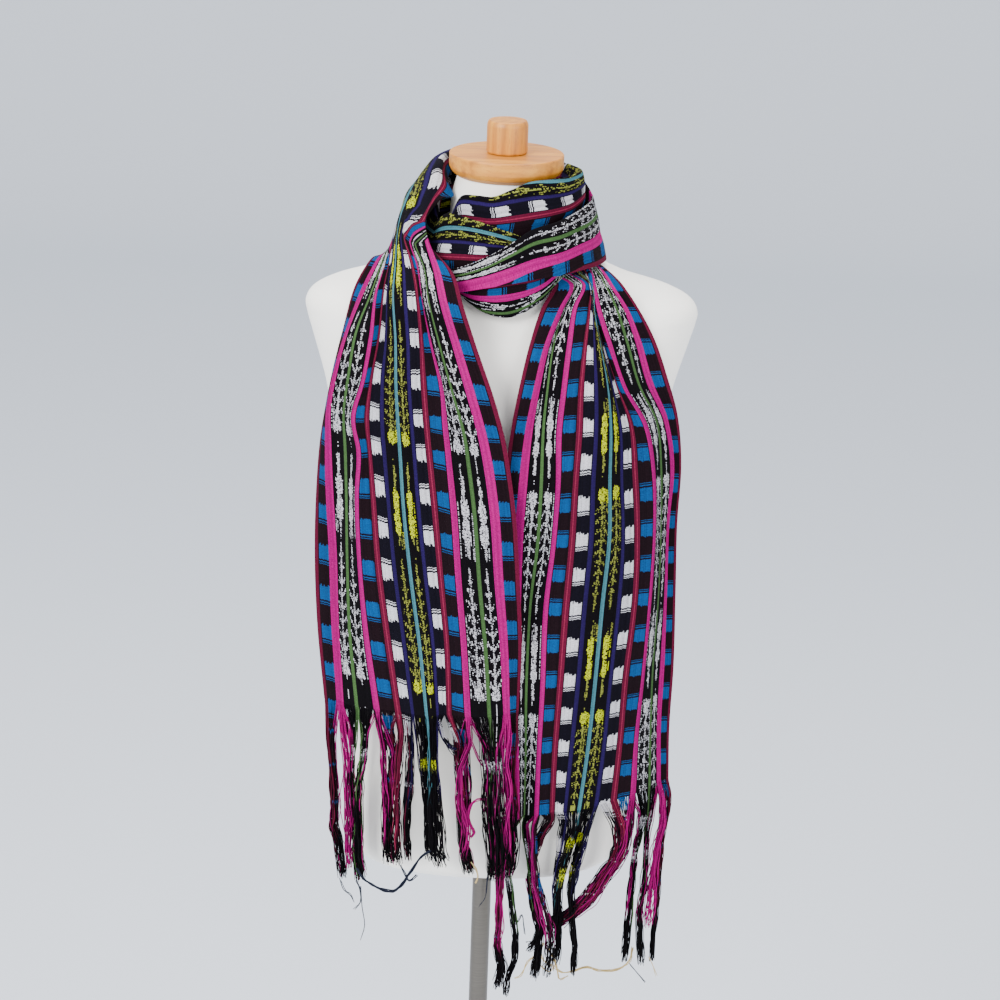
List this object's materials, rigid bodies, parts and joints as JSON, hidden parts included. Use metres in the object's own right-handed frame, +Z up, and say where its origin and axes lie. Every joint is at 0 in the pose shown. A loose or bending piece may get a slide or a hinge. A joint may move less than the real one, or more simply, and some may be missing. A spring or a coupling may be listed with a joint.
{
  "type": "fringed scarf on a dress form",
  "caption": "Long woven stripe-and-ikat scarf with loose fringed ends, wound round the neck of a limbless dress form with a wooden neck cap on a pole and round base.",
  "frame": {"origin": "centre of the footprint, on the underside of the round base", "axes": "+Z up along the pole to the neck knob; the front of the form faces -Y; +X is the viewer's right, where the longer tail hangs"},
  "size_m": [0.384, 0.324, 1.535],
  "materials": {
    "ikat_cloth": "matt woven cotton, warp stripes",
    "fringe_yarn": "matt loose warp yarn",
    "form_cover": "matt stretched cover",
    "beech": "satin clear lacquer",
    "nickel": "satin nickel"
  },
  "bodies": {
    "root": {"form_base": "nickel", "form_pole": "nickel", "form_torso": "form_cover", "neck_cap": "beech", "neck_knob": "beech", "tail_left": "ikat_cloth", "wrap_back": "ikat_cloth", "wrap_over": "ikat_cloth", "wrap_middle": "ikat_cloth", "wrap_back_under": "ikat_cloth", "wrap_under": "ikat_cloth", "tail_right": "ikat_cloth", "fringe_left": "fringe_yarn", "fringe_right": "fringe_yarn"}
  },
  "joints": []
}
